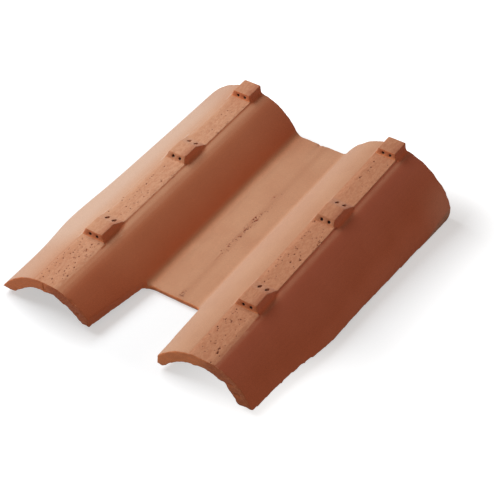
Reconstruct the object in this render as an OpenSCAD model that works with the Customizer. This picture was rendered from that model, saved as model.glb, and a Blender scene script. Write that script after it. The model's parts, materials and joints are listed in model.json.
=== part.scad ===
// Double-barrel clay roof tile, extruded in one piece and cut from the column.
// Two arched barrels are joined by a low web. A rib runs along each crest and is
// sheared away between three lugs, which hook over roof battens.
// The tile lies crest up, as it rests on a level floor: on the rear ends of its
// outer legs and on the front edge of its web, with the narrow front end clear.

/* [Body] */
// Length of the tile along its barrels
length = 400; // [370:1:460]
// Distance between the two crests
pitch = 197; // [185:1:225]
// Outer radius of a barrel round its crest
crown_r = 68; // [60:0.5:76]
// Outer radius of a barrel's sides, below the crown
side_r = 85; // [78:0.5:110]
// Angle from the crest at which the sides take over from the crown
crown_angle = 35; // [20:1:50]
// Thickness of the barrel's wall
wall = 13.5; // [8:0.5:16]

/* [Web] */
// Depth of the web's upper face below the crests
web_depth = 44; // [38:0.5:52]
// Thickness of the web
web_t = 8; // [6:0.5:14]
// Radius of the hollow between a barrel's side and the web
web_fillet_r = 9; // [2:0.5:14]
// Radius of the edge between a channel and the web's underside
under_edge_r = 7; // [1:0.5:12]

/* [Leg edges] */
// Depth of the leg edges below the crests at the narrow front end
leg_depth_front = 37; // [28:0.5:44]
// Depth of the leg edges below the crests at the wide rear end
leg_depth_rear = 75; // [66:0.5:84]

/* [Notch] */
// Length of the notch in the web, from the front end
notch_len = 94; // [60:1:110]
// Width of the notch at the front end
notch_w_front = 90; // [70:1:100]
// Width of the notch at the web
notch_w_rear = 72; // [50:1:84]
// How far the notch's back face leans under the web
notch_undercut = 2.5; // [0:0.5:8]
// Radius of the notch's inner corners
notch_corner_r = 14; // [4:0.5:20]

/* [Ribs and lugs] */
// Width of a rib at crest level
rib_w = 30; // [24:0.5:36]
// Width of a lug's top
lug_w = 22.5; // [16:0.5:24]
// Height of the lugs above the crests
lug_h = 8.3; // [7:0.1:14]
// Length of a lug's top
lug_len = 22; // [16:0.5:30]
// Length of the ramp behind a lug
ramp_len = 18; // [8:0.5:26]
// Front face of the first lug, from the front end
front_lug_y = 84; // [60:1:110]
// Front edge of the middle lug's top, from the front end
middle_lug_y = 241; // [200:1:270]
// How far the foot of the middle lug's front face stands ahead of its top
middle_lug_lean = 3; // [0:0.5:6]
// Length of the last lug, which ends at the rear end
rear_lug_len = 26; // [16:0.5:40]
// Depth below the crest to which the rib is sheared ahead of the first lug
front_shear = 0.8; // [0.1:0.1:1.5]
// Depth below the crest to which the rib is sheared behind the first lug
rear_shear = 0.2; // [0.1:0.1:1.5]

/* [Core holes] */
// Diameter of the holes along a rib
hole_d = 3.2; // [2:0.1:4]
// Distance between the two holes of a rib
hole_gap = 9.2; // [6:0.1:11]
// Depth of the holes' centres below the lug tops
hole_depth = 5; // [3:0.1:5.5]

/* [Hidden] */
$fn = 96;
clay = [0.72, 0.44, 0.32];
// Overshoot of cutting shapes past the faces that they cut
over = 1;
// Depth to which a blending arc runs into the faces that it joins
bite = 0.05;
// Depth to which a rib is rooted in its barrel
rib_root = wall / 2;
web_bottom = web_depth + web_t;
side_shift = side_r - crown_r;
// Centre of a side arc, on the far side of the crest from that arc
side_x = -side_shift * sin(crown_angle);
side_z = -crown_r - side_shift * cos(crown_angle);
leg_slope = (leg_depth_rear - leg_depth_front) / length;
// Front edges of the lugs of one rib, and how far each front face leans
lug_y = [front_lug_y, middle_lug_y, length - rear_lug_len];
lug_lean = [0, middle_lug_lean, 0];
rib_lean = (rib_w - lug_w) / (2 * lug_h);
reach = pitch + 2 * side_r;
drop = leg_depth_rear + over;
// The tile rests on the rear leg ends and on the web's front edge, or on the
// front leg ends where those reach lower.
web_edge_y = notch_len + notch_undercut;
tilt_on_web = atan((leg_depth_rear - web_bottom) / (length - web_edge_y));
tilt_on_tips = atan(leg_slope);
rest_tilt = min(tilt_on_web, tilt_on_tips);
rest_height = leg_depth_rear * cos(rest_tilt) - length * sin(rest_tilt);
rest_back = length * cos(rest_tilt) + leg_depth_rear * sin(rest_tilt);
rest_front = front_shear * sin(rest_tilt);

// Radius of a side arc that is set in from the outer face
function side_arc_r(inset) = side_r - inset - bite;

// Filled outline of a barrel, set in from its outer face. The crest is the origin.
// The side arcs bound it all the way, and the crown arc closes it above them.
module barrel_area(inset) {
    split_z = (crown_r - inset) * cos(crown_angle) - crown_r;
    foot = drop + inset;
    intersection() {
        translate([-reach, -foot]) square([2 * reach, foot + over]);
        translate([side_x, side_z]) circle(side_arc_r(inset));
        translate([-side_x, side_z]) circle(side_arc_r(inset));
        union() {
            translate([0, -crown_r]) circle(crown_r - inset);
            translate([-reach, -2 * foot]) square([2 * reach, 2 * foot + split_z]);
        }
    }
}

// Area between a barrel's side arc, set in from its outer face, and a level line,
// closed by an arc that blends them. The crest is the origin.
module corner_area(inset, level, blend_r) {
    apart = side_arc_r(inset) + blend_r - bite;
    rise = level + blend_r - bite - side_z;
    run = sqrt(pow(apart, 2) - pow(rise, 2));
    far = blend_r + over;
    far_side = -far / apart * [run, rise];
    translate([side_x + run, side_z + rise]) difference() {
        polygon([[0, 0], far_side, [far_side.x, -far], [0, -far]]);
        circle(blend_r);
    }
}

// Places a shape drawn about the left crest at both crests, facing each other
module at_both_crests() {
    for (flip = [0, 1]) mirror([flip, 0]) translate([-pitch / 2, 0]) children();
}

// Section of the extruded column: barrels, web and the hollows beside the web
module tile_section() {
    difference() {
        union() {
            at_both_crests() barrel_area(0);
            translate([-pitch / 2, -web_bottom]) square([pitch, web_t]);
            at_both_crests() corner_area(0, -web_depth, web_fillet_r);
        }
        at_both_crests() barrel_area(wall);
        at_both_crests() corner_area(wall, -web_bottom, under_edge_r);
        translate([-pitch / 2, -2 * drop]) square([pitch, 2 * drop - web_bottom]);
    }
}

// Section of a rib, which narrows upwards
module rib_section() {
    foot = rib_w / 2 + rib_lean * rib_root;
    polygon([[-foot, -rib_root], [foot, -rib_root], [lug_w / 2, lug_h], [-lug_w / 2, lug_h]]);
}

// Extrudes a section along the tile, from the front end to the rear end
module along_tile() {
    translate([0, length, 0]) rotate([90, 0, 0]) linear_extrude(length) children();
}

// Extrudes a side view, drawn in length and height, across the given width
module across_tile(width) {
    rotate([90, 0, 90]) linear_extrude(width, center = true) children();
}

// Side view of one stretch that is sheared off a rib, down to the given depth
module shear_profile(ramp_top, ramp_foot, next_lug, lean, depth) {
    polygon([
        [ramp_top, lug_h + over], [ramp_top, lug_h], [ramp_foot, -depth],
        [next_lug - lean, -depth], [next_lug, lug_h], [next_lug, lug_h + over]
    ]);
}

// Stretches sheared off the rib of one barrel, ahead of each of its lugs
module sheared_stretches() {
    across_tile(rib_w + 2 * rib_root) {
        shear_profile(-over, -over, lug_y[0], lug_lean[0], front_shear);
        for (i = [1 : len(lug_y) - 1]) {
            top_end = lug_y[i - 1] + lug_len;
            shear_profile(top_end, top_end + ramp_len, lug_y[i], lug_lean[i], rear_shear);
        }
    }
}

// Two small holes that run along a rib and show in the ends of its lugs
module core_holes() {
    for (side = [-1, 1])
        translate([side * hole_gap / 2, -over, lug_h - hole_depth])
            rotate([-90, 0, 0]) cylinder(d = hole_d, h = length + 2 * over);
}

// Everything below the sloping cut that trims the legs
module below_leg_cut() {
    across_tile(reach) polygon([
        [-over, -leg_depth_front + leg_slope * over],
        [length + over, -leg_depth_rear - leg_slope * over],
        [length + over, -2 * drop],
        [-over, -2 * drop]
    ]);
}

// Everything ahead of the notch's back face, between the crests
module ahead_of_web() {
    lean = notch_undercut / web_t;
    across_tile(pitch) polygon([
        [-over, 0],
        [notch_len, 0],
        [notch_len, -web_depth],
        [notch_len + lean * (2 * drop - web_depth), -2 * drop],
        [-over, -2 * drop]
    ]);
}

// Tapered opening of the notch, seen from above
module notch_plan() {
    taper = (notch_w_front - notch_w_rear) / (2 * notch_len);
    front = notch_w_front / 2 + taper * over;
    back = notch_w_rear / 2 - taper * notch_undercut;
    // Centre of the arc that rounds an inner corner
    centre_y = web_edge_y - notch_corner_r + bite;
    wall_x = notch_w_front / 2 - taper * centre_y;
    centre_x = wall_x - (notch_corner_r - bite) * sqrt(1 + pow(taper, 2));
    translate([0, 0, -2 * drop]) linear_extrude(2 * drop) difference() {
        polygon([[-front, -over], [front, -over], [back, web_edge_y], [-back, web_edge_y]]);
        for (flip = [0, 1]) mirror([flip, 0]) translate([centre_x, centre_y]) difference() {
            square(notch_corner_r + over);
            circle(notch_corner_r);
        }
    }
}

// Waste below the leg edges: all along outside the crests, and ahead of the web between them
module leg_waste() {
    for (side = [-1, 1])
        intersection() {
            below_leg_cut();
            translate([side * (pitch + reach) / 2, length / 2, -drop])
                cube([reach, length + 2 * over, 2 * drop + 2 * over], center = true);
        }
    intersection() {
        below_leg_cut();
        ahead_of_web();
    }
}

// The tile with its crests level, its front end at y = 0 and its crests at z = 0
module level_tile() {
    difference() {
        union() {
            along_tile() tile_section();
            for (side = [-1, 1]) translate([side * pitch / 2, 0, 0]) along_tile() rib_section();
        }
        for (side = [-1, 1]) translate([side * pitch / 2, 0, 0]) {
            sheared_stretches();
            core_holes();
        }
        leg_waste();
        intersection() {
            ahead_of_web();
            notch_plan();
        }
    }
}

// The tile as it rests, with the middle of its footprint at the origin
module roof_tile() {
    color(clay)
        translate([0, -(rest_front + rest_back) / 2, rest_height])
            rotate([rest_tilt, 0, 0]) level_tile();
}

roof_tile();
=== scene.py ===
import json
import math

import bmesh
import bpy
import numpy as np
from mathutils import Matrix, Vector


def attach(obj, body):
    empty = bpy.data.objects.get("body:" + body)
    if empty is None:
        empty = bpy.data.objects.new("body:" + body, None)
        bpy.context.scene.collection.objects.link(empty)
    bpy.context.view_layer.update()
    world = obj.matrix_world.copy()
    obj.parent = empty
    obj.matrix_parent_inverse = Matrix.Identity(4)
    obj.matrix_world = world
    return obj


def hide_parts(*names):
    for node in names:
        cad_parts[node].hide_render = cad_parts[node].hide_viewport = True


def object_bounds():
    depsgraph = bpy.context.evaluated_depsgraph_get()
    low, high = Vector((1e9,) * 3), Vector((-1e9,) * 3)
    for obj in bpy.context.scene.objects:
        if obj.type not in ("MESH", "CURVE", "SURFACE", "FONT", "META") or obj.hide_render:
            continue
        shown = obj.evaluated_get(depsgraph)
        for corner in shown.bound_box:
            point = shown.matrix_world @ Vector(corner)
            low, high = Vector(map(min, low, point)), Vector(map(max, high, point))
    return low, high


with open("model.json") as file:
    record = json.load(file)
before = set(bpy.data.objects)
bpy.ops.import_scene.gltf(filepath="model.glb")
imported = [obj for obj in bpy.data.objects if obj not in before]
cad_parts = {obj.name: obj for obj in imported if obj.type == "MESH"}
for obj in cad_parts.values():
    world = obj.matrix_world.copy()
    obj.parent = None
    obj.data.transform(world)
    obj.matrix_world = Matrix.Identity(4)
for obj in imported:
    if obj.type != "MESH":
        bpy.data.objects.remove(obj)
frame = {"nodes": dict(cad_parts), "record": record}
cad_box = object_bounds()

MM = 0.001

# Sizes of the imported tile, in metres
LENGTH = 400 * MM
FRONT_LUG_Y = 84 * MM
LUG_LEN = 22 * MM
LUG_H = 8.3 * MM
LUG_HALF = 11.25 * MM
RAMP_LEN = 18 * MM
RIB_LEAN = 0.452
STRIP_HALF = 15 * MM
STRIP_LEVEL = -0.2 * MM
CROWN_R = 68 * MM
WEB_DEPTH = 44 * MM
NOTCH_LEN = 94 * MM
NOTCH_HALF = 46 * MM
HOLE_R = 1.6 * MM
HOLE_OFFSET = 4.6 * MM
HOLE_Z = 3.3 * MM
LEG_DEPTH_FRONT = 37 * MM
LEG_DEPTH_REAR = 75 * MM

# Fineness of the modelled clay
VOXEL = 0.75 * MM
WELD = 0.001 * MM
TRIANGLES = 194000

# Seeds of the pits and of each kind of noise
PIT_SEED = 7
SEEDS = {"wobble": 7, "streaks": 8, "drag": 9, "torn": 12, "wire": 16, "blunt": 19, "ragged": 22}

# The camera of the photograph, in the tile's frame
CAMERA_POS = (0.73783, -1.18239, 1.14774)
CAMERA_TARGET = (0.04373, -0.02613, 0.040)
CAMERA_ROLL = math.radians(3.052)
CAMERA_LENS = 116.0
CAMERA_SENSOR = 36.0
CAMERA_SHIFT = (-0.0013, 0.0008)


class LevelFrame:
    """The tile's own frame: crests level, front end at y = 0, crests at z = 0."""

    def __init__(self, mounts):
        seat = mounts["seat_left_front"]
        right_seat = mounts["seat_right_front"]
        self.cos, self.sin = seat["axis"][2], -seat["axis"][1]
        self.pitch = right_seat["pos_m"][0] - seat["pos_m"][0]
        y, z = FRONT_LUG_Y + LUG_LEN / 2, LUG_H
        self.y0 = seat["pos_m"][1] - (y * self.cos - z * self.sin)
        self.z0 = seat["pos_m"][2] - (y * self.sin + z * self.cos)

    def place(self, co):
        """Row coordinates to level coordinates."""
        return self.turn(co - np.array([0.0, self.y0, self.z0]))

    def turn(self, vectors):
        """Row directions to level directions."""
        y, z = vectors[:, 1], vectors[:, 2]
        return np.stack([vectors[:, 0], y * self.cos + z * self.sin, z * self.cos - y * self.sin], 1)

    def back(self, co):
        """Level coordinates to row coordinates."""
        y, z = co[:, 1], co[:, 2]
        return np.stack(
            [co[:, 0], y * self.cos - z * self.sin + self.y0, y * self.sin + z * self.cos + self.z0], 1)


MOUNTS = {m["name"]: m for m in frame["record"]["mounts"]}
LEVEL = LevelFrame(MOUNTS)
HALF_PITCH = LEVEL.pitch / 2
LUG_Y = [
    float(LEVEL.place(np.array([MOUNTS["hook_left_" + name]["pos_m"]]))[0, 1])
    for name in ("front", "middle", "rear")]


# Noise

HASH_FACTORS = (0x9E3779B1, 0x85EBCA77, 0xC2B2AE3D)
HASH_ROUNDS = ((15, 0x2C1B3C6D), (12, 0x297A2D39))
HASH_LAST_SHIFT = 15
SEED_FACTOR = 7919
SEED_START = 13
FRACTAL_RANGE = 1.6


def lattice_value(corner, seed):
    """A repeatable number from -1 to 1 for each lattice corner."""
    h = np.uint32(seed * SEED_FACTOR + SEED_START)
    for index, factor in zip(corner, HASH_FACTORS):
        h = h ^ index * np.uint32(factor)
    for shift, factor in HASH_ROUNDS:
        h = (h ^ (h >> np.uint32(shift))) * np.uint32(factor)
    h = h ^ (h >> np.uint32(HASH_LAST_SHIFT))
    return h.astype(np.float64) / 2 ** 31 - 1


def noise(points, size, seed):
    """Smooth noise from -1 to 1. size is the width of a lump along x, y and z."""
    p = points / np.asarray(size, float)
    low = np.floor(p)
    f = p - low
    f = f * f * (3 - 2 * f)
    corner = low.astype(np.int64).astype(np.uint32)
    total = np.zeros(len(points))
    for dx in (0, 1):
        for dy in (0, 1):
            for dz in (0, 1):
                weight = np.abs(1 - dx - f[:, 0]) * np.abs(1 - dy - f[:, 1]) * np.abs(1 - dz - f[:, 2])
                at = [corner[:, n] + np.uint32(d) for n, d in enumerate((dx, dy, dz))]
                total += weight * lattice_value(at, seed)
    return total


def fractal(points, size, seed, octaves=3):
    """Noise of several sizes, each half as wide and half as strong as the last."""
    size = np.asarray(size, float)
    total = np.zeros(len(points))
    for n in range(octaves):
        total += noise(points, size / 2 ** n, seed + n) / 2 ** n
    return total / FRACTAL_RANGE


def step(low, high, value):
    """A smooth rise from 0 at low to 1 at high."""
    t = np.clip((value - low) / (high - low), 0, 1)
    return t * t * (3 - 2 * t)


def hump(value, middle, half):
    """A smooth hump of height 1 round a middle."""
    return np.exp(-((value - middle) / half) ** 2)


# Masks of the kinds of surface. A range says where a mask rises from 0 to 1: an offset or
# a height in metres, or a part of the unit normal.

FACING_UP = (0.3, 0.7)
FACING_DOWN = (0.4, 0.8)
FACING_END = (0.5, 0.8)
STRIP_EDGE = (STRIP_HALF - 0.2 * MM, STRIP_HALF + 1.2 * MM)
STRIP_Z = (-3 * MM, -1.5 * MM)
LUG_Z = (0.2 * MM, 1.0 * MM)
LEG_EDGE = (1 * MM, 3 * MM)
HOLE_WALL = (HOLE_R - 0.1 * MM, HOLE_R + 0.35 * MM)
WEB_MARGIN = 3 * MM
# The front faces of the lugs count less as cut faces, and those of the leaning middle lugs least
LUG_FACE_Z = (-1.5 * MM, 0.5 * MM)
LUG_FACE_LOSS = 0.2
LEANING_LOSS = 0.5
LEANING_REACH = 8 * MM
# How far the shade of a lug fades in behind its front, and out before the end of its ramp
LUG_FRONT_FADE = 2 * MM
RAMP_FADE = 7 * MM


def crest_offset(level):
    """How far a point lies across from the nearer crest, to the right positive."""
    return level[:, 0] - np.sign(level[:, 0]) * HALF_PITCH


def barrel_height(off):
    """Height of a barrel's upper face at an offset from its crest."""
    return np.sqrt(CROWN_R ** 2 - off ** 2) - CROWN_R


def leg_line(y):
    """Height of the straight cut that trims the legs."""
    return -LEG_DEPTH_FRONT - (LEG_DEPTH_REAR - LEG_DEPTH_FRONT) * y / LENGTH


def stretches():
    """Start and end of each sheared stretch of a strip."""
    starts = [0.0] + [y + LUG_LEN + RAMP_LEN for y in LUG_Y[:-1]]
    return list(zip(starts, LUG_Y))


def strip_mask(level, normal):
    """The flat sheared strips along the crests, and the lugs on them."""
    across = 1 - step(*STRIP_EDGE, np.abs(crest_offset(level)))
    return across * step(*STRIP_Z, level[:, 2]) * step(*FACING_UP, normal[:, 2])


def cut_mask(level, normal):
    """Faces cut by a wire: both ends, the notch and the leg edges."""
    leaning = hump(level[:, 1], LUG_Y[1], LEANING_REACH)
    loss = step(*LUG_FACE_Z, level[:, 2]) * (LUG_FACE_LOSS + LEANING_LOSS * leaning)
    ends = step(*FACING_END, np.abs(normal[:, 1])) * (1 - loss)
    above_cut = np.abs(level[:, 2] - leg_line(level[:, 1]))
    legs = (1 - step(*LEG_EDGE, above_cut)) * step(*FACING_DOWN, -normal[:, 2])
    beside_web = (np.abs(level[:, 0]) < HALF_PITCH) & (level[:, 1] > NOTCH_LEN + WEB_MARGIN)
    return np.maximum(ends, np.where(beside_web, 0, legs))


def lug_mask(level):
    """The lugs and their ramps, above the sheared strips."""
    return step(*LUG_Z, level[:, 2])


def beside_lugs(level):
    """Where a lug or its ramp stands at the same distance along the tile."""
    y = level[:, 1]
    beside = np.zeros(len(level))
    for lug in LUG_Y:
        end = lug + LUG_LEN + RAMP_LEN
        here = step(lug, lug + LUG_FRONT_FADE, y) * step(end, end - RAMP_FADE, y)
        beside = np.maximum(beside, here)
    return beside


def hole_mask(level):
    """The walls of the core holes that run through the lugs."""
    off_axis = np.hypot(np.abs(crest_offset(level)) - HOLE_OFFSET, level[:, 2] - HOLE_Z)
    return 1 - step(*HOLE_WALL, off_axis)


# The tile's mesh

# Share of the way to its neighbours' mean that a point moves in one round of smoothing
SMOOTH_SHARE = 0.5


def evaluated_mesh(obj):
    """A new mesh with the object's modifiers applied."""
    graph = bpy.context.evaluated_depsgraph_get()
    return bpy.data.meshes.new_from_object(obj.evaluated_get(graph))


def dense_mesh(node):
    """The CAD node's shape as an even, dense mesh, finer on the strips."""
    mesh = node.data.copy()
    bm = bmesh.new()
    bm.from_mesh(mesh)
    bmesh.ops.remove_doubles(bm, verts=bm.verts, dist=WELD)
    bm.to_mesh(mesh)
    bm.free()
    helper = bpy.data.objects.new("dense", mesh)
    bpy.context.scene.collection.objects.link(helper)
    remesh = helper.modifiers.new("even", "REMESH")
    remesh.mode = "VOXEL"
    remesh.voxel_size = VOXEL
    dense = evaluated_mesh(helper)
    bpy.data.objects.remove(helper)
    refine_strips(dense)
    return dense


def refine_strips(mesh):
    """Splits the faces of the strips, where the clay is torn and pitted."""
    centre, normal = (row_array(mesh.polygons, what) for what in ("center", "normal"))
    chosen = np.where(strip_mask(LEVEL.place(centre), LEVEL.turn(normal)) > 0.5)[0]
    bm = bmesh.new()
    bm.from_mesh(mesh)
    bm.faces.ensure_lookup_table()
    edges = {edge for index in chosen for edge in bm.faces[index].edges}
    bmesh.ops.subdivide_edges(bm, edges=list(edges), cuts=1, use_grid_fill=True)
    bm.to_mesh(mesh)
    bm.free()


def row_array(elements, what):
    """Places or normals of a mesh's faces or vertices as an array of rows."""
    flat = np.zeros(len(elements) * 3, np.float32)
    elements.foreach_get(what, flat)
    return flat.reshape(-1, 3).astype(float)


def edge_ends(mesh):
    """The two vertices of each edge, as rows."""
    flat = np.zeros(len(mesh.edges) * 2, np.int32)
    mesh.edges.foreach_get("vertices", flat)
    return flat.reshape(-1, 2)


def level_rows(mesh):
    """Places and normals of a mesh's vertices in level coordinates."""
    places, normals = (row_array(mesh.vertices, what) for what in ("co", "normal"))
    return LEVEL.place(places), LEVEL.turn(normals)


def set_vertices(mesh, co):
    """Moves a mesh's vertices to the given places."""
    mesh.vertices.foreach_set("co", co.astype(np.float32).ravel())
    mesh.update()


def smoothed(co, ends, rounds):
    """Each point moved towards the mean of its neighbours, several times."""
    count = np.maximum(np.bincount(ends.ravel(), minlength=len(co)), 1)[:, None]
    for _ in range(rounds):
        mean = np.zeros_like(co)
        for axis in range(3):
            mean[:, axis] = np.bincount(ends[:, 0], co[ends[:, 1], axis], len(co))
            mean[:, axis] += np.bincount(ends[:, 1], co[ends[:, 0], axis], len(co))
        co = co + SMOOTH_SHARE * (mean / count - co)
    return co


# Pits in the strips and in the web, in level coordinates

# Pits on each stretch of a strip, from the front, for the left (-1) and right (1) barrel
STRIP_PITS = {-1: (75, 40, 12), 1: (55, 50, 14)}
# Share of a strip's width that has pits, and how they gather along a stretch
STRIP_PIT_REACH = 0.9
STRIP_PIT_BETA = (1.6, 1.6)
PIT_HALF_WIDTH = 0.55 * MM
PIT_WIDTH_SPREAD = 0.27
# Half length and depth of a pit, as shares of its half width
PIT_LONG = (0.9, 2.0)
PIT_DEEP = (0.8, 1.3)
# Powers that shape a pit's bowl and the fade of its colour
PIT_BOWL = 0.6
PIT_FADE = 0.5
# Only faces that look up have pits
PIT_FACING = (0.7, 0.9)
# The row of pits along the web runs a little to the right of its middle
WEB_ROW_Y = (176 * MM, 300 * MM)
WEB_ROW_X = (4.5 * MM, 7.5 * MM)
WEB_ROW_SPREAD = 1.9 * MM
WEB_ROW_PITS = 70
WEB_ROW_BETA = (1.2, 1.8)
WEB_FRONT_PITS = 10
WEB_FRONT_Y = (98 * MM, 113 * MM)
# The mouths of the core holes in the ramps: half width, half length and depth
MOUTH = (1.3 * MM, 2.6 * MM, 1.6 * MM)


class Pits:
    """Pits in the upper faces: places, half widths, half lengths and depths."""

    def __init__(self, rng):
        self.rng = rng
        self.rows = []
        for side, counts in STRIP_PITS.items():
            self.add_to_strip(side * HALF_PITCH, counts)
        for _ in range(WEB_ROW_PITS):
            share = rng.beta(*WEB_ROW_BETA)
            x = np.interp(share, (0, 1), WEB_ROW_X) + rng.normal(0, WEB_ROW_SPREAD)
            self.add(x, np.interp(share, (0, 1), WEB_ROW_Y))
        for _ in range(WEB_FRONT_PITS):
            self.add(WEB_ROW_X[0] + rng.normal(0, WEB_ROW_SPREAD), rng.uniform(*WEB_FRONT_Y))

    def add_to_strip(self, crest_x, counts):
        """Pits on each stretch of one strip, and the mouths of the core holes in its ramps."""
        for (start, end), count in zip(stretches(), counts):
            for _ in range(count):
                x = crest_x + self.rng.uniform(-STRIP_PIT_REACH, STRIP_PIT_REACH) * STRIP_HALF
                self.add(x, start + (end - start) * self.rng.beta(*STRIP_PIT_BETA))
        for lug in LUG_Y[:-1]:
            y = lug + LUG_LEN + RAMP_LEN * (1 - HOLE_Z / LUG_H)
            for hole in (-HOLE_OFFSET, HOLE_OFFSET):
                self.rows.append((crest_x + hole, y, *MOUTH))

    def add(self, x, y):
        """One pit of a random size."""
        width = self.rng.lognormal(math.log(PIT_HALF_WIDTH), PIT_WIDTH_SPREAD)
        long, deep = width * self.rng.uniform(*PIT_LONG), width * self.rng.uniform(*PIT_DEEP)
        self.rows.append((x, y, width, long, deep))

    def depth(self, level):
        """Depth at each point, and how far into a pit it lies from 0 to 1."""
        depth = np.zeros(len(level))
        inside = np.zeros(len(level))
        order = np.argsort(level[:, 1])
        y = level[order, 1]
        for px, py, half_x, half_y, deep in self.rows:
            near = order[np.searchsorted(y, py - half_y):np.searchsorted(y, py + half_y)]
            q = ((level[near, 0] - px) / half_x) ** 2 + ((level[near, 1] - py) / half_y) ** 2
            bowl = np.clip(1 - q, 0, 1)
            depth[near] = np.maximum(depth[near], deep * bowl ** PIT_BOWL)
            inside[near] = np.maximum(inside[near], bowl ** PIT_FADE)
        return depth, inside


# How the fired tile departs from the clean shape, in level coordinates

# The outer legs stand wide behind the front end: how far, where most, and how far that reaches
SPLAY = 6 * MM
SPLAY_PEAK = 128 * MM
SPLAY_FRONT = 45 * MM
SPLAY_REAR = (50 * MM, 160 * MM)
SPLAY_REAR_SHARES = (0.47, 0.53)
SPLAY_DEPTH = (8 * MM, 36 * MM)
# Rounded corners of the legs: behind, for the left (-1) and right (1) barrel, in front, and
# between the inner legs and the web
REAR_CORNER_R = {-1: 5 * MM, 1: 9 * MM}
TIP_R = 2.5 * MM
LEG_CORNER_R = 10 * MM
LEG_CORNER_X = (27 * MM, 36 * MM)
LEG_CORNER_ABOVE = 1 * MM
# The right barrel's leg tips, inner (-1) and outer (1): how far they move along x, y and z
# at the front end, and how far back that reaches
RIGHT_TIPS = {
    -1: ((-1.5 * MM, -1.0 * MM, -1.5 * MM), 9 * MM),
    1: ((0.0, -1.6 * MM, -2.7 * MM), 40 * MM)}
TIP_DEPTH = (14 * MM, 36 * MM)
# The right barrel's right side stands wider towards the rear end
REAR_BULGE = 2.8 * MM
REAR_BULGE_Y = (320 * MM, 390 * MM)
REAR_BULGE_DEPTH = (10 * MM, 45 * MM)
# The web's front edge stands further forward
WEB_EDGE_SHIFT = 1.2 * MM
WEB_EDGE_Y = (NOTCH_LEN + 12 * MM, NOTCH_LEN + 4 * MM)
WEB_EDGE_Z = (-WEB_DEPTH + 4 * MM, -WEB_DEPTH + 1 * MM)
# The edges of the strips come down to the barrels: from which offset, for points how far out
# and how low, and how that fades at the ends of a stretch
FLUSH_FROM = 7 * MM
FLUSH_MARGIN = 2 * MM
FLUSH_LOWEST = -2.5 * MM
FLUSH_AHEAD = 1 * MM
FLUSH_START = 10 * MM
FLUSH_END = (1 * MM, 12 * MM)
# How far the right edge of each stretch comes down, from the front, for the left (-1) and
# right (1) barrel
FLUSH_RIGHT = {-1: (1.0, 0.45, 0.15), 1: (1.0, 0.0, 0.0)}
# The ribs' right sides stand steeper from the first lugs on, so their feet lie nearer the crest
STEEP_LEAN = 0.14
SIDE_FOOT = 15.8 * MM
STEEP_FOOT = 12.67 * MM
STEEP_RANGE = (9 * MM, 22 * MM)
STEEP_LOWEST = -5 * MM
STEEP_START = (LUG_Y[0] - 1 * MM, LUG_Y[0] + 2 * MM)
# Chips and cracks: place, half sizes along x, y and z, and depth, in millimetres
CHIPS = (
    ((-2.3, 398.0, -44.0), (3.0, 4.0, 3.0), 1.6),
    ((112.5, 207.0, -0.5), (3.0, 5.0, 3.0), 0.45),
    ((113.0, 196.0, -0.5), (2.0, 3.0, 2.0), 0.3),
    ((-160.0, 95.0, -38.0), (4.0, 3.0, 4.0), 1.0),
    ((-101.6, 0.0, -7.0), (0.7, 3.0, 7.0), 1.2),
    ((133.0, 0.0, -18.0), (6.0, 3.0, 2.0), 1.0),
    ((142.0, 0.0, -26.0), (5.0, 3.0, 2.5), 1.2),
    ((-58.0, 1.0, -24.0), (3.0, 4.0, 3.0), 1.0),
    ((52.0, 20.0, -36.0), (4.0, 5.0, 4.0), 0.9),
    ((41.0, 64.0, -41.0), (3.0, 4.0, 4.0), 0.9),
)
# Relief of the clay: depths, and the width of a lump along x, y and z
WOBBLE = 0.15 * MM
WOBBLE_LUMP = (55 * MM, 90 * MM, 55 * MM)
STREAKS = 0.02 * MM
STREAK_LUMP = (3 * MM, 160 * MM, 3 * MM)
DRAG = 0.10 * MM
DRAG_LUMP = (1.6 * MM, 9 * MM, 4 * MM)
TORN = 0.14 * MM
TORN_LUMP = (3.2 * MM, 5 * MM, 5 * MM)
WIRE = 0.38 * MM
WIRE_BIAS = 0.3
WIRE_LUMP = (7 * MM, 5 * MM, 2.4 * MM)
# The inner edge of the front end is ragged: how far back, how deep, and on faces that look down
RAGGED = 7 * MM
RAGGED_DEPTH = 1.2 * MM
RAGGED_BIAS = -0.4
RAGGED_LUMP = (9 * MM, 12 * MM, 9 * MM)
RAGGED_FACING = -0.1
# Least share of a mask that is worth its noise
TRACE = 0.01
# Worn edges: rounds of smoothing, how unevenly they are blunt, and the wear of the lugs
NEAR_ROUNDS = 5
FAR_ROUNDS = 34
BLUNT_RANGE = (-0.1, 0.7)
BLUNT_LUMP = (9 * MM, 9 * MM, 9 * MM)
LUG_WEAR = 0.75
WEB_EDGE_R = (4 * MM, 7 * MM)
# The hollow along the foot of a lug's right side: half width, and where it ends above and below
FOOT_HALF = 2.5 * MM
FOOT_TOP = (4 * MM, 2 * MM)
FOOT_BOTTOM = (-6 * MM, -4 * MM)


def splay(level):
    """The outer legs stand wider behind the front end than at the two ends."""
    moved = level.copy()
    x, y, z = level.T
    front = hump(y, SPLAY_PEAK, SPLAY_FRONT)
    near, far = (share * hump(y, SPLAY_PEAK, reach) for share, reach in zip(SPLAY_REAR_SHARES, SPLAY_REAR))
    outside = step(*SPLAY_DEPTH, -z) * (np.abs(x) > HALF_PITCH)
    moved[:, 0] += np.sign(x) * SPLAY * np.where(y < SPLAY_PEAK, front, near + far) * outside
    return moved


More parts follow.
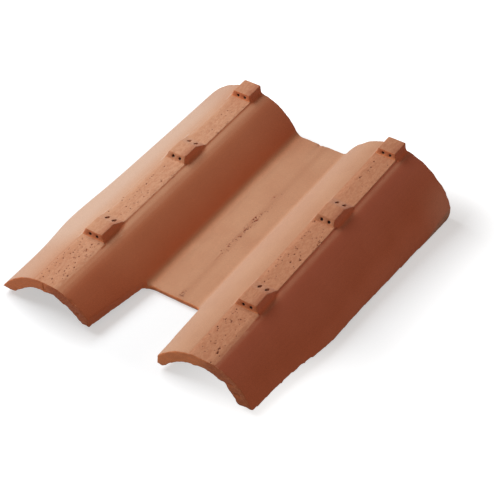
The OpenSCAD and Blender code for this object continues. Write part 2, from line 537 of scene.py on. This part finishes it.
def uneven_edges(level):
    """Moves the right barrel's leg tips, its rear right side and the web's front edge outwards."""
    moved = level.copy()
    x, y, z = level.T
    for side, (shift, reach) in RIGHT_TIPS.items():
        leg = (x > 0) & (side * (x - HALF_PITCH) > 0)
        share = leg * step(*TIP_DEPTH, -z) * hump(np.maximum(y, 0), 0, reach)
        moved += share[:, None] * np.array(shift)
    outside = (x > HALF_PITCH) * step(*REAR_BULGE_DEPTH, -z)
    moved[:, 0] += REAR_BULGE * outside * step(*REAR_BULGE_Y, y)
    at_web = (np.abs(x) < NOTCH_HALF) * step(*WEB_EDGE_Z, z)
    moved[:, 1] -= WEB_EDGE_SHIFT * at_web * step(*WEB_EDGE_Y, y)
    return moved


def corner_shift(u, v, radius):
    """How far two distances from a corner's sides move to round that corner."""
    within = (u < radius) & (v < radius)
    far = np.hypot(radius - u, radius - v)
    pull = np.where(within & (far > radius), 1 - radius / np.maximum(far, radius), 0)
    return (radius - u) * pull, (radius - v) * pull


def rounded_corners(level):
    """Rounds the tips of the legs, their rear corners and the corners between legs and web."""
    level = level.copy()
    on = np.where(level[:, 1] < TIP_R)[0]
    y, z = level[on, 1], level[on, 2]
    du, dv = corner_shift(y, z - leg_line(y), TIP_R)
    level[on, 1] += du
    level[on, 2] += dv
    for side, radius in REAR_CORNER_R.items():
        on = np.where((side * level[:, 0] > HALF_PITCH) & (level[:, 1] > LENGTH - radius))[0]
        y, z = level[on, 1], level[on, 2]
        du, dv = corner_shift(LENGTH - y, z - leg_line(y), radius)
        level[on, 1] -= du
        level[on, 2] += dv
    x, y, below = np.abs(level[:, 0]), level[:, 1], leg_line(NOTCH_LEN) - level[:, 2]
    on_leg = (x > LEG_CORNER_X[0]) & (x < HALF_PITCH) & (below > -LEG_CORNER_ABOVE)
    on = np.where(on_leg & (y < NOTCH_LEN + WEB_MARGIN))[0]
    du, dv = corner_shift(np.maximum(NOTCH_LEN - y[on], 0), np.maximum(below[on], 0), LEG_CORNER_R)
    level[on, 1] -= du * step(*LEG_CORNER_X, x[on])
    level[on, 2] -= dv * step(*LEG_CORNER_X, x[on])
    return level


def flush_strips(level):
    """Brings the edges of the strips down towards the barrels beside them."""
    moved = level.copy()
    off, y, z = crest_offset(level), level[:, 1], level[:, 2]
    on_rib = (np.abs(off) < STRIP_HALF + FLUSH_MARGIN) & (z > FLUSH_LOWEST)
    for (start, end), left_barrel, right_barrel in zip(stretches(), FLUSH_RIGHT[-1], FLUSH_RIGHT[1]):
        on = np.where(on_rib & (y < end) & (y > start - FLUSH_AHEAD))[0]
        right_edge = np.where(level[on, 0] < 0, left_barrel, right_barrel)
        share = step(FLUSH_FROM, STRIP_HALF, np.abs(off[on])) * np.where(off[on] < 0, 1, right_edge)
        share *= step(end - FLUSH_END[0], end - FLUSH_END[1], y[on])
        if start > 0:
            share *= step(start, start + FLUSH_START, y[on])
        moved[on, 2] += share * np.minimum(barrel_height(off[on]) - z[on], 0)
    return moved


def steeper_ribs(level):
    """Makes the right sides of the ribs steeper from the first lugs on."""
    moved = level.copy()
    off, y, z = crest_offset(level), level[:, 1], level[:, 2]
    inner, outer = STEEP_RANGE
    on = np.where((off > inner) & (off < outer) & (y > STEEP_START[0]) & (z > STEEP_LOWEST))[0]
    off, y, z = off[on], y[on], z[on]
    below_top = LUG_H - z
    squeeze = (LUG_HALF + STEEP_LEAN * below_top - inner) / (LUG_HALF + RIB_LEAN * below_top - inner)
    stretch = (outer - STEEP_FOOT) / (outer - SIDE_FOOT)
    on_rib = off < SIDE_FOOT
    new_off = np.where(on_rib, inner + (off - inner) * squeeze, outer - (outer - off) * stretch)
    step_share = (STRIP_LEVEL - barrel_height(STEEP_FOOT)) / (STRIP_LEVEL - barrel_height(SIDE_FOOT))
    lifted = np.minimum(z - STRIP_LEVEL, 0) * (step_share - 1)
    rise = np.where(on_rib, lifted, barrel_height(new_off) - barrel_height(off))
    share = step(*STEEP_START, y)
    moved[on, 0] += share * (new_off - off)
    moved[on, 2] += share * rise
    return moved


def chip_depth(level):
    """Depth of the chips and cracks at each point."""
    depth = np.zeros(len(level))
    for place, half, deep in CHIPS:
        near = np.where(np.abs(level[:, 1] - place[1] * MM) < half[1] * MM)[0]
        q = (((level[near] - np.array(place) * MM) / (np.array(half) * MM)) ** 2).sum(1)
        depth[near] = np.maximum(depth[near], deep * MM * np.clip(1 - q, 0, 1))
    return depth


def clay_relief(level, normal):
    """How far the fired clay's surface lies below the clean CAD face."""
    strip = strip_mask(level, normal)
    cut = cut_mask(level, normal)
    skin = np.clip(1 - strip - cut, 0, 1)
    wobble = WOBBLE * (1 + noise(level, WOBBLE_LUMP, SEEDS["wobble"]))
    streaks = STREAKS * (1 + noise(level, STREAK_LUMP, SEEDS["streaks"]))
    relief = wobble + skin * streaks
    on = np.where(strip > TRACE)[0]
    drag = DRAG * fractal(level[on], DRAG_LUMP, SEEDS["drag"])
    torn = TORN * fractal(level[on], TORN_LUMP, SEEDS["torn"])
    relief[on] += strip[on] * (drag + torn)
    on = np.where(cut > TRACE)[0]
    wire = WIRE * (WIRE_BIAS + fractal(level[on], WIRE_LUMP, SEEDS["wire"]))
    relief[on] += cut[on] * wire
    on = np.where((level[:, 1] < RAGGED) & (normal[:, 2] < RAGGED_FACING))[0]
    ragged = RAGGED_DEPTH * (RAGGED_BIAS + fractal(level[on], RAGGED_LUMP, SEEDS["ragged"]))
    relief[on] += ragged * step(RAGGED, 0, level[on, 1])
    return relief + chip_depth(level)


def lug_foot(level):
    """The hollow along the foot of each lug's right side."""
    foot = hump(crest_offset(level), STEEP_FOOT, FOOT_HALF) * beside_lugs(level)
    return foot * step(*FOOT_TOP, level[:, 2]) * step(*FOOT_BOTTOM, level[:, 2])


def worn_edges(level, ends, normal):
    """Rounds and nibbles the sharp edges, most on the lugs."""
    near = smoothed(level, ends, NEAR_ROUNDS)
    far = smoothed(near, ends, FAR_ROUNDS)
    bluntness = step(*BLUNT_RANGE, fractal(level, BLUNT_LUMP, SEEDS["blunt"]))
    web_edge = 1 - step(*WEB_EDGE_R, np.hypot(level[:, 1] - NOTCH_LEN, level[:, 2] + WEB_DEPTH))
    convex = ((far - level) * normal).sum(1) < 0
    amount = np.where(convex, np.maximum(bluntness, web_edge), 0.0)
    amount = np.maximum(amount, LUG_WEAR * lug_mask(level) * (1 - hole_mask(level)))
    amount = np.maximum(amount, lug_foot(level))
    return near + amount[:, None] * (far - near)


def fired_tile():
    """The whole tile as fired: the CAD shape with the surface of real clay."""
    mesh = dense_mesh(frame["nodes"]["roof_tile"])
    level, normal = level_rows(mesh)
    pits = Pits(np.random.default_rng(PIT_SEED))
    shape = steeper_ribs(flush_strips(rounded_corners(level)))
    shape = worn_edges(shape, edge_ends(mesh), normal)
    depth, _ = pits.depth(level)
    depth *= step(*PIT_FACING, normal[:, 2])
    shape = shape - normal * (clay_relief(level, normal) + depth)[:, None]
    shape = uneven_edges(splay(shape))
    low, high = (np.array(corner) for corner in cad_box)
    set_vertices(mesh, np.clip(LEVEL.back(shape), low, high))
    tile = bpy.data.objects.new("fired_tile", mesh)
    bpy.context.scene.collection.objects.link(tile)
    slim(tile)
    paint(tile.data, pits)
    return tile


def slim(tile):
    """Brings the mesh down to its share of triangles, where the surface is plain."""
    thin = tile.modifiers.new("slim", "DECIMATE")
    corners = np.zeros(len(tile.data.polygons), np.int32)
    tile.data.polygons.foreach_get("loop_total", corners)
    thin.ratio = TRIANGLES / float((corners - 2).sum())
    slimmed = evaluated_mesh(tile)
    tile.modifiers.clear()
    tile.data = slimmed
    tile.data.shade_smooth()


# Where each kind of surface lies, for the material. A range says where a field rises from 0 to 1.

# Parts of the normal along x, for the left (-1) and right (1) barrel
# Painted shade: the flanks that look to the right, away from the lamp, are coloured darker and redder
PAINTED_SHADE_FACING = {-1: (0.15, 0.45), 1: (0.10, 0.34)}
# Painted light: low on the right-facing flanks and beside the lugs, where the lamp reaches least, the
# painted shade is lighter so that it renders even
LOW_FACING = {-1: (0.45, 0.85), 1: (0.33, 0.92)}
# Painted sheen: the flanks that look to the left, towards the lamp, are coloured paler
PAINTED_SHEEN_FACING = {-1: (0.05, 0.5), 1: (0.15, 0.8)}
PAINTED_SHEEN_SHARE = {-1: 1.0, 1: 0.6}
# The left barrel's painted shade ends above the web
ABOVE_WEB = (-WEB_DEPTH + 1.5 * MM, -WEB_DEPTH + 9 * MM)
# The strips' colour fades on the left half of the left barrel, and ends at the steep sides
STRIP_FADE = (-3 * MM, -13 * MM)
STRIP_FADE_SHARE = 0.8
STEEP_EDGE = (12.2 * MM, 12.9 * MM)
# The shade at the right of the lugs
SHADE_FROM = (11 * MM, 12 * MM)
SHADE_TO = (20 * MM, 13 * MM)
# The skin covers the faces that look up, and the walls of the notch
SKIN_FACING = (-0.05, 0.1)
NOTCH_WALL_FACING = (-0.5, -0.3)
# Cut faces are lit on the left of each crest and behind the notch, and less on the lugs
LIT_OFF = (14 * MM, -8 * MM)
LIT_FROM = NOTCH_LEN - 30 * MM
LUG_LIT_LOSS = 0.6
# Painted sheen: the right barrel is lighter and greyer low down at its rear end
REAR_SHEEN_Y = (335 * MM, 385 * MM)
REAR_SHEEN_DEPTH = (18 * MM, 42 * MM)
# Faint lines along the web and outside the left edges of the front strips
WEB_SEAM_X = 6 * MM
WEB_SEAM_HALF = 4 * MM
WEB_SEAM_FACING = (0.9, 0.97)
STRIP_SEAM_OFF = -STRIP_HALF - 0.6 * MM
STRIP_SEAM_HALF = 1.1 * MM
STRIP_SEAM_FACING = (0.8, 0.9)
# Painted light: the bottom of the hollow between the left barrel and the web is coloured lighter
HOLLOW_X = -30.5 * MM
HOLLOW_HALF = 3.6 * MM
# The left barrel's front, less on its strip, and the rear of the left half
FRONT_Y = (95 * MM, 45 * MM)
FRONT_STRIP_LOSS = 0.6
REAR_X = (12 * MM, -20 * MM)
REAR_Y = (320 * MM, 390 * MM)
# Painted shade: the lugs are darker and browner on their right halves
LUG_SHADE_OFF = (1 * MM, 9 * MM)
HOLE_SHADE_Z = (0.6 * MM, 1.2 * MM)
# Painted shade: the core holes show dark above the strips


def by_barrel(level, values):
    """The values of each point's barrel, from those for the left (-1) and right (1) one."""
    return np.where(level[:, 0] > 0, values[1], values[-1])


def facing(level, part, ranges):
    """A rise with a part of the normal, over the range of each point's barrel."""
    return by_barrel(level, {side: step(*ends, part) for side, ends in ranges.items()})


def strip_field(level, normal):
    """The strips as they are coloured."""
    off = crest_offset(level)
    faded = by_barrel(level, {-1: STRIP_FADE_SHARE * step(*STRIP_FADE, off), 1: 0})
    past_side = step(*STEEP_EDGE, off) * (level[:, 1] > LUG_Y[0])
    return strip_mask(level, normal) * (1 - faded) * (1 - past_side)


def shade_field(level):
    """The shaded ground at the right of the lugs."""
    off = crest_offset(level)
    return beside_lugs(level) * step(*SHADE_FROM, off) * step(*SHADE_TO, off)


def painted_shade_field(level, normal):
    """Painted shade: the darker colour of the flanks that look to the right, away from the lamp, and of
    the shade at the right of the lugs.
    """
    painted_shade = facing(level, normal[:, 0], PAINTED_SHADE_FACING)
    clear_of_web = (level[:, 0] > 0) | (level[:, 1] < NOTCH_LEN - WEB_MARGIN)
    painted_shade *= np.where(clear_of_web, 1, step(*ABOVE_WEB, level[:, 2]))
    return np.maximum(painted_shade, shade_field(level))


def outer_field(level, normal):
    """The faces that the extruded skin covers."""
    in_notch = (np.abs(level[:, 0]) < NOTCH_HALF) & (level[:, 1] < NOTCH_LEN)
    notch_wall = in_notch * step(*NOTCH_WALL_FACING, normal[:, 2])
    return np.maximum(step(*SKIN_FACING, normal[:, 2]), notch_wall) * (1 - cut_mask(level, normal))


def lit_cut_field(level):
    """The cut faces that the lamp reaches."""
    lit = np.maximum(step(*LIT_OFF, crest_offset(level)), level[:, 1] > LIT_FROM)
    return lit * (1 - LUG_LIT_LOSS * lug_mask(level))


def seam_field(level, normal):
    """Faint darker lines along the tile."""
    web = hump(level[:, 0], WEB_SEAM_X, WEB_SEAM_HALF) * step(*WEB_SEAM_FACING, normal[:, 2])
    strip = hump(crest_offset(level), STRIP_SEAM_OFF, STRIP_SEAM_HALF)
    strip *= (level[:, 1] < LUG_Y[0]) * step(*STRIP_SEAM_FACING, normal[:, 2])
    return np.maximum(web, strip)


def paint(mesh, pits):
    """Writes where each kind of surface lies, for the material."""
    level, normal = level_rows(mesh)
    x, y, z = level.T
    _, inside = pits.depth(level)
    strip, outer = strip_field(level, normal), outer_field(level, normal)
    rear_sheen = step(*REAR_SHEEN_Y, y) * step(*REAR_SHEEN_DEPTH, -z) * outer
    painted_sheen = by_barrel(level, PAINTED_SHEEN_SHARE) * facing(level, -normal[:, 0], PAINTED_SHEEN_FACING)
    up = step(*FACING_UP, normal[:, 2])
    fields = {
        "strip": strip,
        "cut": cut_mask(level, normal),
        "lit_cut": lit_cut_field(level),
        # painted shade in the pits
        "pit": inside * up,
        # painted shade inside the core holes
        "hole": hole_mask(level) * step(*HOLE_SHADE_Z, z),
        # painted shade on the flanks that look to the right
        "painted_shade": painted_shade_field(level, normal) * outer,
        # painted light that lifts the painted shade where the lamp reaches least
        "low": np.maximum(facing(level, normal[:, 0], LOW_FACING), shade_field(level)),
        # painted sheen low down at the right barrel's rear end
        "rear_sheen": by_barrel(level, {-1: 0, 1: rear_sheen}),
        "front": by_barrel(level, {-1: step(*FRONT_Y, y), 1: 0}) * (1 - FRONT_STRIP_LOSS * strip),
        "rear": step(*REAR_X, x) * step(*REAR_Y, y),
        # painted light in the hollow between the left barrel and the web
        "hollow": hump(x, HOLLOW_X, HOLLOW_HALF) * outer,
        # painted shade on the lugs' right halves
        "lug_right_shade": lug_mask(level) * step(*LUG_SHADE_OFF, crest_offset(level)) * up,
        "seam": seam_field(level, normal),
        # painted sheen on the flanks that look to the left
        "painted_sheen": painted_sheen * outer * (1 - strip),
    }
    for name, values in fields.items():
        layer = mesh.attributes.new(name, "FLOAT", "POINT")
        layer.data.foreach_set("value", values.astype(np.float32))


# Materials

class Nodes:
    """Short calls for building a node tree."""

    def __init__(self, owner):
        self.owner = owner
        owner.use_nodes = True
        self.tree = owner.node_tree
        self.tree.nodes.clear()

    def add(self, kind, settings=None, **inputs):
        """A new node, with its settings and its inputs by name."""
        node = self.tree.nodes.new(kind)
        for key, value in (settings or {}).items():
            setattr(node, key, value)
        for key, value in inputs.items():
            self.put(node.inputs[key.replace("_", " ")], value)
        return node

    def put(self, socket, value):
        """Links an output to a socket, or sets the socket's own value."""
        if isinstance(value, bpy.types.NodeSocket):
            self.tree.links.new(value, socket)
        else:
            socket.default_value = value

    def field(self, name):
        """A painted field of the mesh."""
        return self.add("ShaderNodeAttribute", {"attribute_name": name}).outputs["Fac"]

    def part(self, name, share):
        """A share of a painted field."""
        return self.math("MULTIPLY", self.field(name), share)

    def noise(self, vector, scale, detail):
        node = self.add("ShaderNodeTexNoise", Vector=vector, Scale=scale, Detail=detail)
        return node.outputs["Fac"]

    def scaled(self, vector, scale):
        return self.add("ShaderNodeMapping", Vector=vector, Scale=scale).outputs["Vector"]

    def ramp(self, value, low, high, to_low=0.0, to_high=1.0):
        """A smooth change from one value at low to another at high."""
        node = self.add("ShaderNodeMapRange", {"interpolation_type": "SMOOTHSTEP"})
        for socket, v in zip(node.inputs[:5], (value, low, high, to_low, to_high)):
            self.put(socket, v)
        return node.outputs["Result"]

    def math(self, operation, a, b):
        node = self.add("ShaderNodeMath", {"operation": operation})
        self.put(node.inputs[0], a)
        self.put(node.inputs[1], b)
        return node.outputs["Value"]

    def blend(self, a, share_a, b, share_b):
        """The sum of a share of one value and a share of another."""
        return self.math("ADD", self.math("MULTIPLY", a, share_a), self.math("MULTIPLY", b, share_b))

    def vector(self, operation, a, b=None):
        node = self.add("ShaderNodeVectorMath", {"operation": operation})
        self.put(node.inputs[0], a)
        if b is not None:
            self.put(node.inputs[1], b)
        return node.outputs["Vector"]

    def length(self, vector):
        return self.add("ShaderNodeVectorMath", {"operation": "LENGTH"}, Vector=vector).outputs["Value"]

    def mix(self, factor, a, b, blend="MIX"):
        node = self.add("ShaderNodeMix", {"data_type": "RGBA", "blend_type": blend})
        for socket, v in ((node.inputs["Factor"], factor), (node.inputs[6], a), (node.inputs[7], b)):
            self.put(socket, v)
        return node.outputs[2]

    def seen_directly(self):
        """1 for rays from the camera and for mirrored or transmitted ones, 0 for rays that light."""
        rays = self.add("ShaderNodeLightPath").outputs
        seen = self.math("MAXIMUM", rays["Is Camera Ray"], rays["Is Glossy Ray"])
        return self.math("MAXIMUM", seen, rays["Is Transmission Ray"])

    def by_ray(self, lighting, seen):
        """One shader for the rays that light, and another for those that are seen directly."""
        both = self.add("ShaderNodeMixShader", Fac=self.seen_directly())
        self.put(both.inputs[1], lighting)
        self.put(both.inputs[2], seen)
        return both.outputs["Shader"]


SKIN_PALE = (0.560, 0.305, 0.182, 1)
SKIN_WARM = (0.515, 0.262, 0.150, 1)
SEAM = (0.465, 0.225, 0.125, 1)
# Painted sheen colours of the left-facing flanks
PAINTED_SHEEN_LEFT = (0.545, 0.390, 0.300, 1)
PAINTED_SHEEN_RIGHT = (0.585, 0.385, 0.275, 1)
STRIP_CLAY = (0.560, 0.275, 0.155, 1)
STRIP_DARK = (0.490, 0.215, 0.112, 1)
# Painted light and shade: the left barrel's strips are paler and the right barrel's darker, as the lamp at
# the left lights the right barrel less
STRIP_LIGHT_TINT_LEFT = (1.00, 1.07, 1.14, 1)
STRIP_SHADE_TINT_RIGHT = (0.96, 0.88, 0.84, 1)
# Painted shade on the lugs' right halves
LUG_SHADE_TINT = (0.77, 0.60, 0.54, 1)
CUT_CLAY = (0.500, 0.128, 0.044, 1)
CUT_PALE = (0.600, 0.200, 0.080, 1)
CUT_LIT = (0.920, 0.315, 0.117, 1)
# Painted shade colours of the right-facing flanks, high up and low down
PAINTED_SHADE_LEFT_HIGH = (0.392, 0.118, 0.0465, 1)
PAINTED_SHADE_LEFT_LOW = (0.585, 0.174, 0.072, 1)
PAINTED_SHADE_RIGHT_HIGH = (0.345, 0.078, 0.031, 1)
PAINTED_SHADE_RIGHT_LOW = (0.665, 0.172, 0.0735, 1)
# Painted sheen colour low down at the right barrel's rear end
REAR_SHEEN = (0.760, 0.300, 0.180, 1)
# Painted light in the hollow beside the web
HOLLOW_PAINTED_LIGHT = (1.36, 1.33, 1.33, 1)
# The left side is a little darker and redder towards both ends
FRONT_TINT = (0.93, 0.82, 0.75, 1)
REAR_TINT = (0.93, 0.85, 0.81, 1)
# Painted shade in the pits, and the colour of the clay's dark specks
PIT_SHADE_AND_SPECK = (0.190, 0.070, 0.038, 1)
# Painted shade inside the core holes
HOLE_SHADE = (0.055, 0.020, 0.012, 1)
# How much of each colour shows where its field is full
PAINTED_SHEEN_MIX = 0.8
SEAM_MIX = 0.6
REAR_SHEEN_MIX = 0.7
STRIP_MIX = 0.85
CUT_MIX = 0.92
LIT_CUT_MIX = 0.8
SPECK_MIX = 0.40
# Noise in the clay: scale and detail, and how it is drawn out along the tile
MOTTLE_NOISE = (28.0, 4.0)
STREAK_NOISE = (260.0, 3.0)
STREAK_SCALE = (1.0, 0.06, 1.0)
DRAG_NOISE = (420.0, 4.0)
DRAG_SCALE = (1.0, 0.45, 1.0)
GRAIN_NOISE = (1500.0, 2.0)
SPECK_NOISE = (620.0, 2.0)
# Where the noise turns from one colour or value to the other
TONE_RANGE = (0.30, 0.70)
STRIP_DRAG_RANGE = (0.36, 0.60)
CUT_DRAG_RANGE = (0.42, 0.68)
NOISE_RANGE = (0.3, 0.7)
SPECK_RANGE = (0.71, 0.77)
# The halves of the tile part at its middle
MIDDLE = (-1 * MM, 1 * MM)
TONE_MOTTLE = 0.85
TONE_STREAK = 0.15
DUST = (0.90, 1.10)
BUMP_GRAIN = 0.6
BUMP_SPECK = 0.4
BUMP_STRENGTH = 0.5
BUMP_DISTANCE = 0.4 * MM
ROUGHNESS = (0.72, 0.88)
SHEEN = 0.18
SHEEN_ROUGHNESS = 0.5
SPECULAR = 0.2


def skin_colour(n, mottle, streak, on_right):
    """The extruded skin: pale, with a painted sheen on the left flanks and painted shade on the right
    ones.
    """
    tone = n.blend(mottle, TONE_MOTTLE, streak, TONE_STREAK)
    colour = n.mix(n.ramp(tone, *TONE_RANGE), SKIN_WARM, SKIN_PALE)
    # Painted sheen on the flanks that look to the left
    colour = n.mix(n.part("painted_sheen", PAINTED_SHEEN_MIX), colour, n.mix(on_right, PAINTED_SHEEN_LEFT, PAINTED_SHEEN_RIGHT))
    colour = n.mix(n.part("seam", SEAM_MIX), colour, SEAM)
    # The painted shade is lighter where the low field marks the least lit parts
    left_shade = n.mix(n.field("low"), PAINTED_SHADE_LEFT_HIGH, PAINTED_SHADE_LEFT_LOW)
    right_shade = n.mix(n.field("low"), PAINTED_SHADE_RIGHT_HIGH, PAINTED_SHADE_RIGHT_LOW)
    # Painted sheen low down at the right barrel's rear end
    right_shade = n.mix(n.part("rear_sheen", REAR_SHEEN_MIX), right_shade, REAR_SHEEN)
    # Painted shade on the flanks that look to the right
    colour = n.mix(n.field("painted_shade"), colour, n.mix(on_right, left_shade, right_shade))
    # Painted light in the hollow between the left barrel and the web
    return n.mix(n.field("hollow"), colour, HOLLOW_PAINTED_LIGHT, "MULTIPLY")


def strip_colour(n, drag, on_right):
    """The torn strips, with painted light that makes them paler on the left barrel, and painted shade that
    makes them browner on the lugs' right halves.
    """
    colour = n.mix(n.ramp(drag, *STRIP_DRAG_RANGE), STRIP_DARK, STRIP_CLAY)
    # Painted light on the left barrel's strips and painted shade on the right barrel's
    colour = n.mix(1.0, colour, n.mix(on_right, STRIP_LIGHT_TINT_LEFT, STRIP_SHADE_TINT_RIGHT), "MULTIPLY")
    # Painted shade on the lugs' right halves
    return n.mix(n.field("lug_right_shade"), colour, LUG_SHADE_TINT, "MULTIPLY")


def cut_colour(n, drag):
    """The faces that a wire cut, brighter where the lamp reaches them."""
    colour = n.mix(n.ramp(drag, *CUT_DRAG_RANGE), CUT_CLAY, CUT_PALE)
    return n.mix(n.part("lit_cut", LIT_CUT_MIX), colour, CUT_LIT)


def dusted(n, colour, grain, speck):
    """A colour with fine grain and dark specks."""
    dust = n.ramp(grain, *NOISE_RANGE, *DUST)
    grey = n.add("ShaderNodeCombineColor", Red=dust, Green=dust, Blue=dust).outputs["Color"]
    colour = n.mix(1.0, colour, grey, "MULTIPLY")
    return n.mix(n.ramp(speck, *SPECK_RANGE, 0.0, SPECK_MIX), colour, PIT_SHADE_AND_SPECK)


def clay_material():
    """Unglazed fired clay: pale extruded skin, torn strips and browner cut faces."""
    n = Nodes(bpy.data.materials.new("fired_clay"))
    place = n.add("ShaderNodeTexCoord").outputs["Object"]
    mottle, grain, speck = (n.noise(place, *kind) for kind in (MOTTLE_NOISE, GRAIN_NOISE, SPECK_NOISE))
    streak = n.noise(n.scaled(place, STREAK_SCALE), *STREAK_NOISE)
    drag = n.noise(n.scaled(place, DRAG_SCALE), *DRAG_NOISE)
    on_right = n.ramp(n.add("ShaderNodeSeparateXYZ", Vector=place).outputs["X"], *MIDDLE)
    colour = skin_colour(n, mottle, streak, on_right)
    colour = n.mix(n.part("strip", STRIP_MIX), colour, strip_colour(n, drag, on_right))
    colour = n.mix(n.part("cut", CUT_MIX), colour, cut_colour(n, drag))
    colour = n.mix(n.field("front"), colour, FRONT_TINT, "MULTIPLY")
    colour = n.mix(n.field("rear"), colour, REAR_TINT, "MULTIPLY")
    # Painted shade in the pits
    colour = n.mix(n.field("pit"), colour, PIT_SHADE_AND_SPECK)
    # Painted shade inside the core holes
    colour = n.mix(n.field("hole"), colour, HOLE_SHADE)
    height = n.blend(grain, BUMP_GRAIN, speck, BUMP_SPECK)
    bump = n.add("ShaderNodeBump", Strength=BUMP_STRENGTH, Distance=BUMP_DISTANCE, Height=height)
    shader = n.add(
        "ShaderNodeBsdfPrincipled", Base_Color=dusted(n, colour, grain, speck),
        Roughness=n.ramp(mottle, *NOISE_RANGE, *ROUGHNESS), Normal=bump.outputs["Normal"],
        Sheen_Weight=SHEEN, Sheen_Roughness=SHEEN_ROUGHNESS, Specular_IOR_Level=SPECULAR)
    n.add("ShaderNodeOutputMaterial", Surface=shader.outputs["BSDF"])
    return n.owner


FLOOR_HALF = 4.0
FLOOR_PLAIN = (0.40, 0.40, 0.40, 1)
FLOOR_SEEN = (0.52, 0.56, 0.59, 1)
# The floor's glow under the tile and away from it, and how far from the tile it changes: painted light,
# weaker near the tile, that fades the shadow out further away
FLOOR_GLOW = (0.50, 0.95)
GLOW_RANGE = (0.02, 0.13)
FOOTPRINT = (0.17, 0.18, 0.0)
# Painted light: the floor glows brighter near the right barrel's front end, which lightens the shadow
# there
LIGHT_SPOT = (0.175, -0.19, 0.0)
LIGHT_SPOT_RANGE = (0.02, 0.17)
LIGHT_SPOT_GLOW = 0.27


def floor_material():
    """A pale studio floor that shows white to the camera and keeps the shadow near the tile, with painted
    light that fades it further out.
    """
    n = Nodes(bpy.data.materials.new("studio_floor"))
    plain = n.add("ShaderNodeBsdfDiffuse", Color=FLOOR_PLAIN)
    seen = n.add("ShaderNodeBsdfDiffuse", Color=FLOOR_SEEN)
    place = n.add("ShaderNodeTexCoord").outputs["Object"]
    outside = n.vector("SUBTRACT", n.vector("ABSOLUTE", place), FOOTPRINT)
    from_tile = n.length(n.vector("MAXIMUM", outside, (0.0, 0.0, 0.0)))
    from_spot = n.length(n.vector("SUBTRACT", place, LIGHT_SPOT))
    # Painted light: a brighter spot near the right barrel's front end
    spot = n.ramp(from_spot, *LIGHT_SPOT_RANGE, LIGHT_SPOT_GLOW, 0.0)
    level = n.math("ADD", n.ramp(from_tile, *GLOW_RANGE, *FLOOR_GLOW), spot)
    glow = n.add("ShaderNodeEmission", Strength=n.math("MINIMUM", level, FLOOR_GLOW[1]))
    bright = n.add("ShaderNodeAddShader")
    n.put(bright.inputs[0], seen.outputs["BSDF"])
    n.put(bright.inputs[1], glow.outputs["Emission"])
    surface = n.by_ray(plain.outputs["BSDF"], bright.outputs["Shader"])
    n.add("ShaderNodeOutputMaterial", Surface=surface)
    return n.owner


# Stage, light and camera

KEY_POS = (-0.66, -0.08, 0.80)
KEY_LENGTH = 1.0
KEY_HEIGHT = 0.45
KEY_LEVEL = 0.98
ROOM_COLOUR = (1.0, 0.78, 0.66, 1)
ROOM_LEVEL = 0.285
WHITE = (1.0, 1.0, 1.0, 1)


def floor():
    """The studio floor, which is no part of the tile."""
    mesh = bpy.data.meshes.new("floor")
    corners = [(x * FLOOR_HALF, y * FLOOR_HALF, 0.0) for x, y in ((-1, -1), (1, -1), (1, 1), (-1, 1))]
    mesh.from_pydata(corners, [], [(0, 1, 2, 3)])
    mesh.materials.append(floor_material())
    obj = bpy.data.objects.new("floor", mesh)
    bpy.context.scene.collection.objects.link(obj)


def lights():
    """One long soft lamp to the left of the tile, and an even warm room."""
    lamp = bpy.data.lights.new("key", "AREA")
    lamp.shape = "RECTANGLE"
    lamp.size = KEY_LENGTH
    lamp.size_y = KEY_HEIGHT
    lamp.energy = KEY_LEVEL * math.pi ** 2 * Vector(KEY_POS).length_squared
    obj = bpy.data.objects.new("key", lamp)
    obj.location = KEY_POS
    obj.rotation_euler = Vector(KEY_POS).to_track_quat("Z", "Y").to_euler()
    obj.visible_camera = False
    bpy.context.scene.collection.objects.link(obj)
    bpy.context.scene.world = room()


def room():
    """An even warm room that shows white to the camera."""
    n = Nodes(bpy.data.worlds.new("room"))
    warm = n.add("ShaderNodeBackground", Color=ROOM_COLOUR, Strength=ROOM_LEVEL)
    white = n.add("ShaderNodeBackground", Color=WHITE, Strength=1.0)
    surface = n.by_ray(warm.outputs["Background"], white.outputs["Background"])
    n.add("ShaderNodeOutputWorld", Surface=surface)
    return n.owner


def camera():
    """The camera of the photograph."""
    data = bpy.data.cameras.new("camera")
    data.lens = CAMERA_LENS
    data.sensor_width = CAMERA_SENSOR
    data.shift_x, data.shift_y = CAMERA_SHIFT
    obj = bpy.data.objects.new("camera", data)
    away = (Vector(CAMERA_POS) - Vector(CAMERA_TARGET)).normalized()
    turn = away.to_track_quat("Z", "Y").to_matrix() @ Matrix.Rotation(CAMERA_ROLL, 3, "Z")
    obj.matrix_world = Matrix.Translation(CAMERA_POS) @ turn.to_4x4()
    bpy.context.scene.collection.objects.link(obj)
    bpy.context.scene.camera = obj


bpy.context.scene.view_settings.view_transform = "Standard"
camera()
lights()
floor()
tile = fired_tile()
tile.data.materials.clear()
tile.data.materials.append(clay_material())
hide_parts("roof_tile")
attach(tile, "root")
